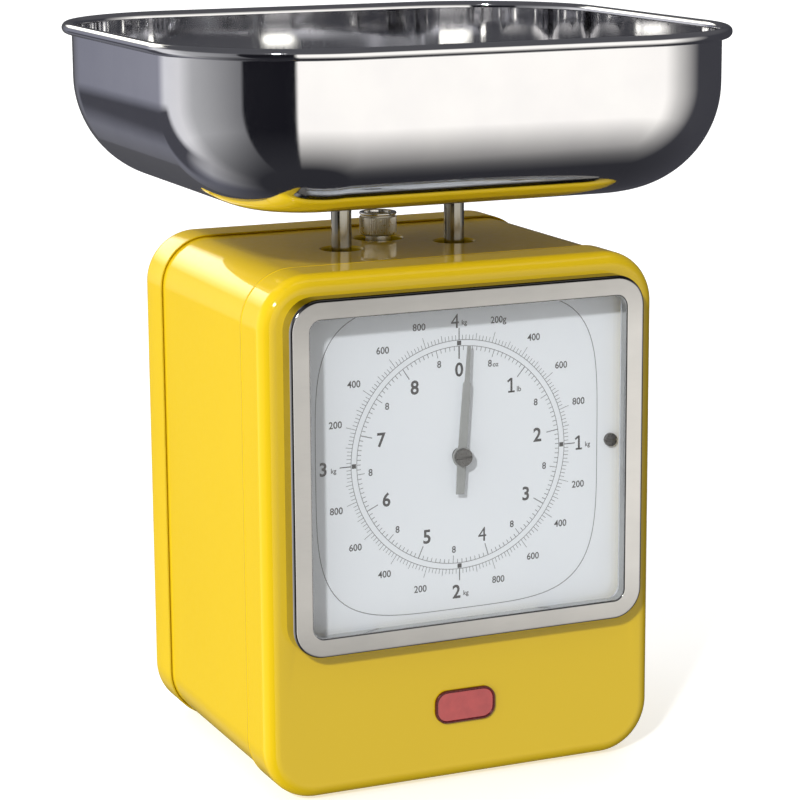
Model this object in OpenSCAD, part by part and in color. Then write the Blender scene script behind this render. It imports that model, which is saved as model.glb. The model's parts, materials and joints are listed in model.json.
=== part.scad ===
// Kitchen scale with a dial: a steel bowl on two posts above a sprung weighing movement.
// Millimetres, +Z up, front towards -Y. The origin is at the base, under the bowl's centre.

/* [Housing] */
// Width of the painted housing
body_w = 161.6; // [160:0.2:164]
// Depth of the housing, front face to rear face
body_d = 133; // [132:0.5:136]
// Height of the painted housing, without the feet
body_h = 200; // [199.5:0.5:202]
// Corner radius of the housing, seen from the front
body_r = 20.3; // [16:0.1:22]
// Rounding of the front and rear edges
edge_r = 5.5; // [3:0.5:7]
// Sheet thickness of the housing
sheet = 0.9; // [0.8:0.05:0.9]
// Depth of the sides of the front shell and of the rear cover
skirt = 21.5; // [20:0.5:23]
// How far the centre wrap stands in from both shells
wrap_in = 1; // [1:0.05:1.2]
// How far the feet hold the housing off the table
stand = 1.5; // [1.5:0.1:2]

/* [Window] */
// Height of the dial's centre above the table
dial_z = 127.8; // [127:0.1:128.5]
// Width of the steel bezel
bezel_w = 144.8; // [143:0.2:146]
// Height of the steel bezel
bezel_h = 135; // [134:0.2:136]
// Outer corner radius of the bezel
bezel_r = 12; // [10:0.5:13]
// Width of the bezel's face
bezel_band = 7.85; // [7.5:0.05:8]
// How far the bezel stands out from the housing
bezel_out = 7.7; // [7.5:0.1:8.5]
// How far the dial lies behind the housing's front face
dial_in = 4.3; // [4.3:0.1:4.8]
// Length of the pointer from its axis to its tip
pointer_len = 42.5; // [38:0.5:44]
// Angle of the pointer past zero with the bowl empty
pointer_rest = 3.9; // [0:0.1:6]

/* [Bowl] */
// Length of the bowl, left to right, at its wall
bowl_l = 222; // [216:0.5:226]
// Width of the bowl, front to back, at its wall
bowl_w = 206; // [200:0.5:208]
// Corner radius of the bowl, seen from above
bowl_r = 55.8; // [50:0.2:60]
// Radius between the wall and the bottom
bowl_foot_r = 41; // [36:0.5:44]
// Height of the bowl's flat bottom above the table
bowl_z = 224.1; // [224:0.1:225]
// Height from the flat bottom to the middle of the rolled rim
bowl_rise = 60; // [56:0.5:62]
// Thickness of the bowl's steel
bowl_t = 0.8; // [0.6:0.1:1]
// Radius of the rolled rim
rim_r = 2.2; // [1.8:0.1:2.4]

/* [Movement] */
// Travel of the posts at full load
travel = 9; // [8.5:0.1:9]
// Distance from the middle to each post
post_x = 24; // [23.8:0.1:24.4]
// Place of the posts, front to back
post_y = -6; // [-6.5:0.1:-5.8]
// Radius of the posts
post_r = 4; // [3.8:0.05:4]
// Place of the zero knob, front to back
knob_y = 14; // [13.6:0.1:14.4]
// Radius of the zero knob
knob_r = 7.4; // [7:0.1:7.6]
// Lever arm from the rear pivots to the posts
lever_arm = 40; // [39.8:0.1:40.2]
// Teeth on the pointer's pinion
pinion_teeth = 9; // [9:1:9]
// Module of the rack and pinion
gear_m = 0.5; // [0.5:0.01:0.5]

/* [Hidden] */
$fn = 96;

front_y = -body_d / 2;
rear_y = body_d / 2;
body_mid = stand + body_h / 2;
body_top = stand + body_h;
floor_under = stand + wrap_in;
floor_z = floor_under + sheet;
wrap_w = body_w - 2 * wrap_in;
wrap_h = body_h - 2 * wrap_in;
wrap_lap = 6;
wrap_d = body_d - 2 * skirt + 2 * wrap_lap;
post_hole_r = 8;
knob_hole_r = 9.7;
window_w = bezel_w - 2 * bezel_band;
window_h = bezel_h - 2 * bezel_band;
dial_rise = 1.5;
bezel_mid = dial_z - dial_rise;
opening_lap = 3.5;
opening_w = window_w + 2 * opening_lap;
opening_h = window_h + 2 * opening_lap;
dial_y = front_y + dial_in;
dial_t = 0.8;
dial_w = 147;
dial_h = 132;
dial_screw_x = 64;
dial_screw_h = 1.6;
bezel_lip = 4.2;
lens_t = 1.6;
lens_y = front_y - bezel_out + bezel_lip + lens_t;
lens_lap = 2.1;
seal_lap = 1.3;
tab_xs = [-40, 40];
strap_y = dial_y + dial_t;
strap_t = 1.5;
badge_z = 30.7;
foot_x = 58;
foot_y = 36;
foot_r = 7.5;
foot_hole_r = 1.6;
plate_t = 1.5;
frame_x = 34;
frame_front_y = -38;
frame_rear_y = 42;
frame_top_z = 186;
base_top = floor_z + plate_t;
lap_y = rear_y - skirt + wrap_lap / 2;
lap_x = 50;
lap_hole_r = 1.4;
cover_screw_x = 60;
cover_screw_zs = [30, 172];
frame_screw_x = 28;
frame_screw_ys = [-32, 36];
pivot_y = post_y + lever_arm;
upper_z = 160;
lower_z = 90;
rack_travel = PI * gear_m * pinion_teeth;
rack_arm = lever_arm * rack_travel / travel;
lever_rest = asin(travel / 2 / lever_arm);
rack_y = pivot_y - rack_arm;
pin_r = 1.5;
fit_gap = 0.05;
arm_x = 12;
arm_t = 1.5;
arm_h = 7;
rack_arm_x = 9.25;
leg_x = 15.5;
leg_t = 2;
carrier_z = 176;
carrier_t = 3;
pad_h = 0.5;
platform_top = bowl_z - pad_h;
platform_t = 2.6;
platform_l = 112;
platform_w = 72;
pad_x = 42;
pad_y = 24;
screw_r = 2.5;
seat_z = 114;
seat_t = 2.5;
knob_top = body_top + 9.5;
knob_foot = body_top + 0.3;
shaft_r = 1.25;
pointer_y = dial_y - 3;
pitch_r = gear_m * pinion_teeth / 2;
tooth_pitch = PI * gear_m;

yellow = [0.93, 0.76, 0.02];
steel = [0.72, 0.72, 0.71];
zinc = [0.62, 0.64, 0.66];
brass = [0.78, 0.64, 0.32];
rubber = [0.1, 0.1, 0.1];

// Shared shapes

module round_rect(w, h, r)
{
    square([w - 2 * r, h], center = true);
    square([w, h - 2 * r], center = true);
    for (x = [-1, 1], y = [-1, 1])
        translate([x * (w / 2 - r), y * (h / 2 - r)])
            circle(r);
}

// Sweeps a profile round a rounded rectangle. The profile's x runs out from the corner's centre.
module round_path(w, h, r)
{
    a = w / 2 - r;
    b = h / 2 - r;
    for (k = [0 : 3])
        translate([(k == 0 || k == 3 ? 1 : -1) * a, (k < 2 ? 1 : -1) * b, 0])
            rotate([0, 0, 90 * k])
                rotate_extrude(angle = 90)
                    children();
    for (k = [0, 2])
        rotate([0, 0, 90 * k])
            translate([a, b, 0])
                rotate([90, 0, 0])
                    linear_extrude(2 * b)
                        children();
    for (k = [1, 3])
        rotate([0, 0, 90 * k])
            translate([b, a, 0])
                rotate([90, 0, 0])
                    linear_extrude(2 * a)
                        children();
}

module quarter_ring(r, t)
{
    intersection()
    {
        difference()
        {
            circle(r);
            circle(r - t);
        }
        square(r);
    }
}

// A box between two corners
module block(low, high)
{
    translate(low)
        cube(high - low);
}

// Turns a shape drawn flat so that its height points to the front, from the plane at y
module facing_front(y)
{
    translate([0, y, 0])
        rotate([90, 0, 0])
            children();
}

// A rod along Y from the plane at y0 to the plane at y1
module rod_y(x, z, y0, y1, r)
{
    translate([x, y1, z])
        rotate([90, 0, 0])
            cylinder(h = y1 - y0, r = r);
}

// A rod along X, from x0 to x1
module rod_x(y, z, x0, x1, r)
{
    translate([x0, y, z])
        rotate([0, 90, 0])
            cylinder(h = x1 - x0, r = r);
}

// A screw with its head down, head_z at the head's underside
module screw_up(x, y, head_z, len, r, head_r, head_h)
{
    translate([x, y, head_z])
        cylinder(h = head_h, r = head_r);
    translate([x, y, head_z + head_h])
        cylinder(h = len, r = r);
}

// One deep-drawn shell, open at z = 0 and closed at z = depth
module pan(depth)
{
    round_path(body_w, body_h, body_r)
    {
        translate([body_r - sheet, 0])
            square([sheet, depth - edge_r]);
        translate([body_r - edge_r, depth - edge_r])
            quarter_ring(edge_r, sheet);
    }
    translate([0, 0, depth - sheet])
        linear_extrude(sheet)
            round_rect(body_w - 2 * edge_r, body_h - 2 * edge_r, body_r - edge_r);
}

// Housing

module front_shell()
{
    color(yellow)
        difference()
        {
            translate([0, 0, body_mid])
                facing_front(front_y + skirt)
                    pan(skirt);
            translate([0, 0, bezel_mid])
                facing_front(front_y + 3)
                    linear_extrude(6)
                        round_rect(opening_w, opening_h, bezel_r - bezel_band + opening_lap);
            for (x = [-lap_x, lap_x])
                translate([x, -lap_y, 0])
                    cylinder(h = 10, r = lap_hole_r);
        }
}

module centre_wrap()
{
    color(yellow)
        difference()
        {
            union()
            {
                translate([0, 0, body_mid])
                    facing_front(wrap_d / 2)
                        round_path(wrap_w, wrap_h, body_r - wrap_in)
                            translate([body_r - wrap_in - sheet, 0])
                                square([sheet, wrap_d]);
                for (x = [-post_x, post_x])
                    collar(x, post_y, post_hole_r);
                collar(0, knob_y, knob_hole_r);
            }
            for (x = [-post_x, post_x])
                top_hole(x, post_y, post_hole_r);
            top_hole(0, knob_y, knob_hole_r);
            for (x = [-lap_x, lap_x], y = [-lap_y, lap_y])
                translate([x, y, 0])
                    cylinder(h = 10, r = lap_hole_r);
            for (x = [-foot_x, foot_x], y = [-foot_y, foot_y])
                translate([x, y, 0])
                    cylinder(h = 10, r = foot_hole_r);
            for (x = [-frame_screw_x, frame_screw_x], y = frame_screw_ys)
                translate([x, y, 0])
                    cylinder(h = 10, r = foot_hole_r);
        }
}

// The turned-down edge of a hole in the top
module collar(x, y, r)
{
    translate([x, y, body_top - wrap_in - 2.6])
        cylinder(h = 2.4, r = r + 0.8);
}

module top_hole(x, y, r)
{
    translate([x, y, body_top - 8])
        cylinder(h = 10, r = r);
}

module rear_cover()
{
    color(yellow)
        difference()
        {
            translate([0, rear_y - skirt, body_mid])
                rotate([-90, 0, 0])
                    pan(skirt);
            for (x = [-cover_screw_x, cover_screw_x], z = cover_screw_zs)
                rod_y(x, z, rear_y - 4, rear_y + 4, 1.6);
            for (x = [-lap_x, lap_x])
                translate([x, lap_y, 0])
                    cylinder(h = 10, r = lap_hole_r);
        }
}

module rear_brackets()
{
    color(zinc)
        for (s = [-1, 1], z = cover_screw_zs)
            mirror([s < 0 ? 1 : 0, 0, 0])
                rear_bracket(z);
}

// A bracket on the wrap's right wall, bent to stand behind the rear cover
module rear_bracket(z)
{
    wall_x = wrap_w / 2 - sheet;
    step_x = wall_x - 6;
    plate_y = rear_y - sheet - plate_t;
    step_y = wrap_d / 2 - 6;
    half = 8;
    difference()
    {
        union()
        {
            block([cover_screw_x - half, plate_y, z - half], [step_x, plate_y + plate_t, z + half]);
            block([step_x - plate_t, step_y, z - half], [step_x, plate_y + plate_t, z + half]);
            block([step_x - plate_t, step_y, z - half], [wall_x, step_y + plate_t, z + half]);
            block([wall_x - plate_t, step_y - 12, z - half], [wall_x, step_y + plate_t, z + half]);
        }
        rod_y(cover_screw_x, z, plate_y - 2, rear_y, 1.5);
    }
}

module rear_cover_screws()
{
    color(steel)
        for (x = [-cover_screw_x, cover_screw_x], z = cover_screw_zs)
            difference()
            {
                union()
                {
                    rod_y(x, z, rear_y, rear_y + 1.4, 3);
                    rod_y(x, z, rear_y - 8, rear_y, 1.5);
                }
                block([x - 2, rear_y + 0.7, z - 0.4], [x + 2, rear_y + 2, z + 0.4]);
                block([x - 0.4, rear_y + 0.7, z - 2], [x + 0.4, rear_y + 2, z + 2]);
            }
}

module shell_screws()
{
    color(steel)
        for (x = [-lap_x, lap_x], y = [-lap_y, lap_y])
            screw_up(x, y, stand - 1, 5.5, 1.3, 2.6, 1);
}

module feet()
{
    color(rubber)
        for (x = [-foot_x, foot_x], y = [-foot_y, foot_y])
            translate([x, y, 0])
                difference()
                {
                    cylinder(h = floor_under, r = foot_r);
                    translate([0, 0, -1])
                        cylinder(h = 2.4, r = 3.2);
                    cylinder(h = 10, r = foot_hole_r);
                }
}

module foot_screws()
{
    color(steel)
        for (x = [-foot_x, foot_x], y = [-foot_y, foot_y])
            screw_up(x, y, 0.4, 6, 1.5, 2.8, 1);
}

module foot_nuts()
{
    color(zinc)
        for (x = [-foot_x, foot_x], y = [-foot_y, foot_y])
            translate([x, y, floor_z])
                difference()
                {
                    cylinder(h = 2.4, r = 3.2, $fn = 6);
                    translate([0, 0, -1])
                        cylinder(h = 5, r = 1.5);
                }
}

// Window and dial

module bezel()
{
    face_t = 1;
    soft = 1.5;
    color(steel)
        translate([0, 0, bezel_mid])
            facing_front(front_y)
                round_path(bezel_w, bezel_h, bezel_r)
                {
                    translate([bezel_r - face_t, 0])
                        square([face_t, bezel_out - soft]);
                    translate([bezel_r - soft, bezel_out - soft])
                        quarter_ring(soft, face_t);
                    translate([bezel_r - bezel_band, bezel_out - face_t])
                        square([bezel_band - soft, face_t]);
                    translate([bezel_r - bezel_band, bezel_out - bezel_lip])
                        square([0.8, bezel_lip]);
                }
}

module bezel_tabs()
{
    color(steel)
        for (x = tab_xs, s = [-1, 1])
        {
            z0 = bezel_mid + s * (opening_h / 2 - 1.2);
            z1 = bezel_mid + s * (opening_h / 2 - 0.4);
            z2 = bezel_mid + s * (opening_h / 2 + 4);
            back = front_y + sheet;
            block([x - 5, front_y - bezel_out + 1, min(z0, z1)], [x + 5, back + 0.8, max(z0, z1)]);
            block([x - 5, back, min(z0, z2)], [x + 5, back + 0.8, max(z0, z2)]);
        }
}

// A flat pane behind the bezel's lip
module lens()
{
    color([0.85, 0.9, 0.92, 0.3])
        translate([0, 0, bezel_mid])
            facing_front(lens_y)
                linear_extrude(lens_t)
                    round_rect(window_w + 2 * lens_lap, window_h + 2 * lens_lap,
                               bezel_r - bezel_band + lens_lap);
}

// A seal between the pane and the front shell, cut away for the tabs
module lens_gasket()
{
    outer = 5.5;
    color([0.62, 0.63, 0.66])
        difference()
        {
            translate([0, 0, bezel_mid])
                facing_front(front_y)
                    linear_extrude(front_y - lens_y)
                        difference()
                        {
                            round_rect(window_w + 2 * outer, window_h + 2 * outer,
                                       bezel_r - bezel_band + outer);
                            round_rect(window_w + 2 * seal_lap, window_h + 2 * seal_lap,
                                       bezel_r - bezel_band + seal_lap);
                        }
            for (x = tab_xs, s = [-1, 1])
                translate([x, front_y, bezel_mid + s * (opening_h / 2 - 0.8)])
                    cube([11, 10, 1.4], center = true);
        }
}

module badge()
{
    color([0.65, 0.08, 0.08])
        translate([0, 0, badge_z])
            facing_front(front_y)
            {
                linear_extrude(0.8)
                    round_rect(25, 13, 5);
                linear_extrude(1.2)
                    difference()
                    {
                        round_rect(25, 13, 5);
                        round_rect(23.4, 11.4, 4.2);
                    }
            }
}

module dial_plate()
{
    color([0.93, 0.94, 0.95])
        difference()
        {
            translate([0, 0, bezel_mid])
                facing_front(strap_y)
                    linear_extrude(dial_t)
                        round_rect(dial_w, dial_h, 6);
            rod_y(0, dial_z, dial_y - 2, strap_y + 2, 3);
            for (x = [-dial_screw_x, dial_screw_x])
                rod_y(x, dial_z, dial_y - 2, strap_y + 2, 1.6);
        }
}

module dial_screws()
{
    color(zinc)
        for (x = [-dial_screw_x, dial_screw_x])
            difference()
            {
                union()
                {
                    rod_y(x, dial_z, dial_y - dial_screw_h, dial_y, 2.6);
                    rod_y(x, dial_z, dial_y, strap_y + strap_t + 1.5, 1.5);
                }
                block([x - 3, dial_y - 2, dial_z - 0.35], [x + 3, dial_y - 0.8, dial_z + 0.35]);
            }
}

module dial_strap()
{
    color(zinc)
        difference()
        {
            block([-70, strap_y, dial_z - 6], [70, strap_y + strap_t, dial_z + 6]);
            rod_y(0, dial_z, strap_y - 1, strap_y + 4, 4);
            for (x = [-dial_screw_x, dial_screw_x])
                rod_y(x, dial_z, strap_y - 1, strap_y + 4, 1.5);
        }
}

module strap_spacers()
{
    color(zinc)
        for (x = [-frame_screw_x, frame_screw_x])
            rod_y(x, dial_z, strap_y + strap_t, frame_front_y, 3);
}

// Frame of the movement

module frame_base()
{
    color(zinc)
        difference()
        {
            block([-frame_x - plate_t, frame_front_y, floor_z],
                  [frame_x + plate_t, frame_rear_y, base_top]);
            for (x = [-frame_screw_x, frame_screw_x], y = frame_screw_ys)
                translate([x, y, 0])
                    cylinder(h = 10, r = 1.5);
        }
}

module frame_screws()
{
    color(steel)
        for (x = [-frame_screw_x, frame_screw_x], y = frame_screw_ys)
            screw_up(x, y, floor_under - 1, 5, 1.5, 2.8, 1);
}

// One side plate, drawn at its inner face
module side_plate(x0)
{
    difference()
    {
        block([x0, frame_front_y, base_top], [x0 + plate_t, frame_rear_y, frame_top_z]);
        for (z = [upper_z, lower_z])
            rod_x(pivot_y, z, x0 - 1, x0 + plate_t + 1, pin_r);
        block([x0 - 1, knob_y - 6.3, seat_z - 1], [x0 + plate_t + 1, knob_y + 6.3, seat_z + seat_t + 1]);
        block([x0 - 1, -28, 20], [x0 + plate_t + 1, 22, 74]);
        block([x0 - 1, -28, 128], [x0 + plate_t + 1, 22, 172]);
    }
}

module frame_side_left()
{
    color(zinc)
        side_plate(-frame_x - plate_t);
}

module frame_side_right()
{
    color(zinc)
        side_plate(frame_x);
}

module frame_front()
{
    color(zinc)
        difference()
        {
            block([-frame_x, frame_front_y, 104], [frame_x, frame_front_y + plate_t, 150]);
            rod_y(0, dial_z, frame_front_y - 1, frame_front_y + 3, 3);
        }
}

module frame_top()
{
    color(zinc)
        difference()
        {
            block([-frame_x - plate_t, -16, frame_top_z], [frame_x + plate_t, 24, frame_top_z + plate_t]);
            for (x = [-post_x, post_x])
                translate([x, post_y, frame_top_z - 2])
                    cylinder(h = 6, r = 5.5);
            translate([0, knob_y, frame_top_z - 2])
                cylinder(h = 6, r = screw_r + 0.1);
        }
}

module post_bushes()
{
    color([0.9, 0.9, 0.86])
        for (x = [-post_x, post_x])
            translate([x, post_y, frame_top_z - 1])
                difference()
                {
                    union()
                    {
                        cylinder(h = plate_t + 2, r = 5.5);
                        translate([0, 0, 1 + plate_t])
                            cylinder(h = 1.2, r = 7);
                    }
                    translate([0, 0, -1])
                        cylinder(h = 8, r = post_r + fit_gap);
                }
}

module pinion_bridge()
{
    color(zinc)
        difference()
        {
            block([-14, rack_y + 6.5, dial_z - 14], [16, rack_y + 6.5 + plate_t, dial_z + 14]);
            rod_y(0, dial_z, rack_y + 5, rack_y + 10, shaft_r + fit_gap);
        }
}

module bridge_pillars()
{
    color(brass)
    {
        rod_y(-10, dial_z + 10, frame_front_y + plate_t, rack_y + 6.5, 2);
        rod_y(13, dial_z - 10, frame_front_y + plate_t, rack_y + 6.5, 2);
    }
}

module front_bush()
{
    color(brass)
        difference()
        {
            union()
            {
                rod_y(0, dial_z, frame_front_y - 1.5, frame_front_y + plate_t, 3);
                rod_y(0, dial_z, frame_front_y - 1.5, frame_front_y, 4.5);
            }
            rod_y(0, dial_z, frame_front_y - 3, frame_front_y + 4, shaft_r + fit_gap);
        }
}

// Keeps the rack in mesh with the pinion
module rack_guide()
{
    color([0.9, 0.9, 0.86])
        block([7.3, rack_y - 3, dial_z - 4], [9.3, rack_y + 6.5, dial_z + 4]);
}

module pivot_pin(z)
{
    rod_x(pivot_y, z, -frame_x - 3, frame_x + 3, pin_r);
}

module upper_pivot_pin()
{
    color(steel)
        pivot_pin(upper_z);
}

module lower_pivot_pin()
{
    color(steel)
        pivot_pin(lower_z);
}

// What goes down with the load

module carrier()
{
    leg_low = lower_z - 4;
    color(zinc)
        difference()
        {
            union()
            {
                block([-30, post_y - 6, carrier_z], [30, post_y + 6, carrier_z + carrier_t]);
                block([-11, post_y, carrier_z], [11, knob_y + 10, carrier_z + carrier_t]);
                for (x = [-leg_x, leg_x])
                    block([x - leg_t / 2, post_y - 5, leg_low], [x + leg_t / 2, post_y + 5, carrier_z + 1]);
            }
            for (x = [-post_x, post_x])
                translate([x, post_y, carrier_z - 1])
                    cylinder(h = 8, r = screw_r);
            translate([0, knob_y, carrier_z - 1])
                cylinder(h = 8, r = 4);
            for (z = [upper_z, lower_z])
                link_slot(z + travel / 2);
        }
}

// The slots let the pins follow the levers' shallow arc
module link_slot(z)
{
    sag = lever_arm * (1 - cos(lever_rest));
    block([-leg_x - 2, post_y - 1.95, z - 1.85], [leg_x + 2, post_y + sag + 1.95, z + 1.85]);
}

module posts()
{
    color(steel)
        for (x = [-post_x, post_x])
            translate([x, post_y, 0])
                difference()
                {
                    union()
                    {
                        translate([0, 0, carrier_z + carrier_t])
                            cylinder(h = platform_top - platform_t - carrier_z - carrier_t, r = post_r);
                        translate([0, 0, carrier_z - 6])
                            cylinder(h = 6 + carrier_t, r = screw_r);
                    }
                    translate([0, 0, platform_top - platform_t - 10])
                        cylinder(h = 12, r = 2);
                }
}

module post_nuts()
{
    color(zinc)
        for (x = [-post_x, post_x])
            translate([x, post_y, carrier_z - 4])
                difference()
                {
                    cylinder(h = 4, r = 4.6, $fn = 6);
                    translate([0, 0, -1])
                        cylinder(h = 6, r = screw_r);
                }
}

module platform()
{
    color(zinc)
        difference()
        {
            translate([0, 0, platform_top - platform_t])
                linear_extrude(platform_t)
                    round_rect(platform_l, platform_w, 12);
            for (x = [-post_x, post_x])
                translate([x, post_y, 0])
                {
                    translate([0, 0, platform_top - platform_t - 1])
                        cylinder(h = 6, r = 2);
                    translate([0, 0, platform_top - 1.4])
                        cylinder(h = 3, r = 4);
                }
            for (x = [-pad_x, pad_x], y = [-pad_y, pad_y])
                translate([x, y, platform_top - 0.8])
                    cylinder(h = 2, r = 5);
        }
}

module platform_screws()
{
    color(steel)
        for (x = [-post_x, post_x])
            translate([x, post_y, 0])
            {
                translate([0, 0, platform_top - 1.4])
                    cylinder(h = 1.3, r = 3.9);
                translate([0, 0, platform_top - platform_t - 8])
                    cylinder(h = platform_t + 7, r = 2);
            }
}

module platform_pads()
{
    color(rubber)
        for (x = [-pad_x, pad_x], y = [-pad_y, pad_y])
            translate([x, y, platform_top - 0.8])
                cylinder(h = 0.8 + pad_h, r = 5);
}

module bowl()
{
    bend = bowl_foot_r;
    color([0.8, 0.8, 0.8])
        translate([0, 0, bowl_z])
        {
            round_path(bowl_l, bowl_w, bowl_r)
            {
                translate([bowl_r - bowl_t, bend])
                    square([bowl_t, bowl_rise - bend]);
                translate([bowl_r - bend, bend])
                    mirror([0, 1])
                        quarter_ring(bend, bowl_t);
                translate([bowl_r + rim_r - 0.5, bowl_rise])
                    circle(rim_r);
            }
            linear_extrude(bowl_t)
                round_rect(bowl_l - 2 * bend, bowl_w - 2 * bend, bowl_r - bend);
        }
}

// Levers, drawn level from the pivot towards -Y

module lever_arm_plate(x, len)
{
    block([x - arm_t / 2, -len, -arm_h / 2], [x + arm_t / 2, 0, arm_h / 2]);
    for (y = [-len, 0])
        rod_x(y, 0, x - arm_t / 2, x + arm_t / 2, arm_h / 2);
}

module lever(z, reach)
{
    translate([0, pivot_y, z])
        rotate([-lever_rest, 0, 0])
            difference()
            {
                union()
                {
                    for (x = [-arm_x, arm_x])
                        lever_arm_plate(x, lever_arm);
                    if (reach > 0)
                        lever_arm_plate(rack_arm_x, reach);
                    rod_x(0, 0, -arm_x, arm_x, 4);
                }
                rod_x(0, 0, -20, 20, pin_r + fit_gap);
                rod_x(-lever_arm, 0, -20, 20, pin_r);
                if (reach > 0)
                    rod_x(-reach, 0, 5, 15, 1);
            }
}

module link_pin(z)
{
    translate([0, pivot_y, z])
        rotate([-lever_rest, 0, 0])
            rod_x(-lever_arm, 0, -leg_x - 2, leg_x + 2, pin_r);
}

module upper_lever()
{
    color(zinc)
        lever(upper_z, 0);
}

module upper_link_pin()
{
    color(steel)
        link_pin(upper_z);
}

module lower_lever()
{
    color(zinc)
        lever(lower_z, rack_arm);
}

module lower_link_pin()
{
    color(steel)
        link_pin(lower_z);
}

module rack_pin()
{
    color(steel)
        translate([0, pivot_y, lower_z])
            rotate([-lever_rest, 0, 0])
                rod_x(-rack_arm, 0, 2, rack_arm_x + 1, 1);
}

// Rack and pinion. Teeth are a little narrow, so they run with backlash.

module rack()
{
    root_x = pitch_r + 1.3 * gear_m;
    tip_x = pitch_r - 0.8 * gear_m;
    eye_z = lower_z + rack_arm * sin(lever_rest);
    sag = rack_arm * (1 - cos(lever_rest));
    color(brass)
        difference()
        {
            union()
            {
                block([root_x, rack_y - 2.5, eye_z - 4], [root_x + 4, rack_y + 3, dial_z + rack_travel + 6]);
                for (k = [-2 : pinion_teeth + 2])
                    translate([0, 0, dial_z + (k + 0.5) * tooth_pitch])
                        facing_front(rack_y + 2.5)
                            linear_extrude(5)
                                polygon([[root_x + 0.1, -0.5], [root_x + 0.1, 0.5],
                                         [tip_x, 0.14], [tip_x, -0.14]]);
            }
            block([0, rack_y - 1.3, eye_z - 1.3], [10, rack_y + sag + 1.3, eye_z + 1.3]);
        }
}

module pinion()
{
    root_r = pitch_r - 1.2 * gear_m;
    tip_r = pitch_r + 0.8 * gear_m;
    color(brass)
        translate([0, 0, dial_z])
            facing_front(rack_y + 3)
                linear_extrude(6.5)
                    difference()
                    {
                        union()
                        {
                            circle(root_r);
                            for (k = [0 : pinion_teeth - 1])
                                rotate(360 / pinion_teeth * k)
                                    polygon([[root_r - 0.3, -0.42], [tip_r, -0.14],
                                             [tip_r, 0.14], [root_r - 0.3, 0.42]]);
                        }
                        circle(shaft_r);
                    }
}

module pointer_shaft()
{
    color(steel)
        rod_y(0, dial_z, pointer_y - 1.2, rack_y + 9, shaft_r);
}

module pointer()
{
    blade_w = 1.6;
    neck = 28;
    tip_w = 1;
    color([0.55, 0.57, 0.58])
        translate([0, 0, dial_z])
            facing_front(pointer_y + 0.5)
                rotate(-pointer_rest)
                    linear_extrude(0.5)
                        difference()
                        {
                            union()
                            {
                                polygon([[-blade_w, 0], [blade_w, 0], [blade_w, neck],
                                         [tip_w, neck + 1], [-tip_w, neck + 1], [-blade_w, neck]]);
                                polygon([[-tip_w, neck], [tip_w, neck],
                                         [0.7, pointer_len], [-0.7, pointer_len]]);
                                polygon([[-blade_w, 0.5], [-1.7, -14.5], [1.7, -14.5], [blade_w, 0.5]]);
                                circle(4);
                            }
                            circle(shaft_r);
                        }
}

module pointer_cap()
{
    color([0.3, 0.3, 0.3])
        difference()
        {
            rod_y(0, dial_z, pointer_y - 1.8, pointer_y, 3.4);
            rod_y(0, dial_z, pointer_y - 1.2, pointer_y + 1, shaft_r);
            block([-4, pointer_y - 2, dial_z - 0.3], [4, pointer_y - 1.4, dial_z + 0.3]);
        }
}

// Zero adjuster

module zero_knob()
{
    color([0.6, 0.6, 0.58])
        translate([0, knob_y, 0])
            difference()
            {
                union()
                {
                    translate([0, 0, knob_foot])
                        cylinder(h = knob_top - knob_foot, r = knob_r);
                    translate([0, 0, frame_top_z + plate_t])
                        cylinder(h = knob_foot - frame_top_z - plate_t, r = 5);
                }
                translate([0, 0, knob_top - 1.4])
                    cylinder(h = 3, r = knob_r - 1.6);
                translate([0, 0, frame_top_z])
                    cylinder(h = 30, r = screw_r);
            }
}

module zero_screw()
{
    color(steel)
        translate([0, knob_y, seat_z - 8])
            cylinder(h = knob_top - 2 - seat_z + 8, r = screw_r);
}

module spring_seat()
{
    color(zinc)
        difference()
        {
            union()
            {
                block([-frame_x - 2.5, knob_y - 6, seat_z], [frame_x + 2.5, knob_y + 6, seat_z + seat_t]);
                translate([0, knob_y, seat_z])
                    cylinder(h = seat_t, r = 10.5);
            }
            translate([0, knob_y, seat_z - 1])
                cylinder(h = 6, r = screw_r + fit_gap);
        }
}

// A point on the spring's wire: s runs from 0 to 1 along the coils, a round the wire
function coil_point(s, a, turns, coil_r, wire_r, z0, z1) =
    [(coil_r + wire_r * cos(a)) * cos(360 * turns * s),
     (coil_r + wire_r * cos(a)) * sin(360 * turns * s),
     z0 + (z1 - z0) * s + wire_r * sin(a)];

module main_spring()
{
    turns = 8;
    steps = turns * 20;
    sides = 8;
    wire_r = 1;
    z0 = seat_z + seat_t + wire_r;
    z1 = carrier_z - wire_r;
    points = [for (i = [0 : steps], k = [0 : sides - 1])
        coil_point(i / steps, 360 / sides * k, turns, 8, wire_r, z0, z1)];
    wall = [for (i = [0 : steps - 1], k = [0 : sides - 1])
        let (a = i * sides + k, b = i * sides + (k + 1) % sides)
            [a, a + sides, b + sides, b]];
    ends = [[for (k = [0 : sides - 1]) k],
            [for (k = [sides - 1 : -1 : 0]) steps * sides + k]];
    color([0.35, 0.36, 0.38])
        translate([0, knob_y, 0])
            polyhedron(points, concat(wall, ends), convexity = 12);
}

front_shell();
centre_wrap();
rear_cover();
rear_brackets();
rear_cover_screws();
shell_screws();
feet();
foot_screws();
foot_nuts();
bezel();
bezel_tabs();
lens();
lens_gasket();
badge();
dial_plate();
dial_screws();
dial_strap();
strap_spacers();
frame_base();
frame_screws();
frame_side_left();
frame_side_right();
frame_front();
frame_top();
post_bushes();
pinion_bridge();
bridge_pillars();
front_bush();
rack_guide();
upper_pivot_pin();
lower_pivot_pin();
carrier();
posts();
post_nuts();
platform();
platform_screws();
platform_pads();
bowl();
upper_lever();
upper_link_pin();
lower_lever();
lower_link_pin();
rack_pin();
rack();
pinion();
pointer_shaft();
pointer();
pointer_cap();
zero_knob();
zero_screw();
spring_seat();
main_spring();
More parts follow.
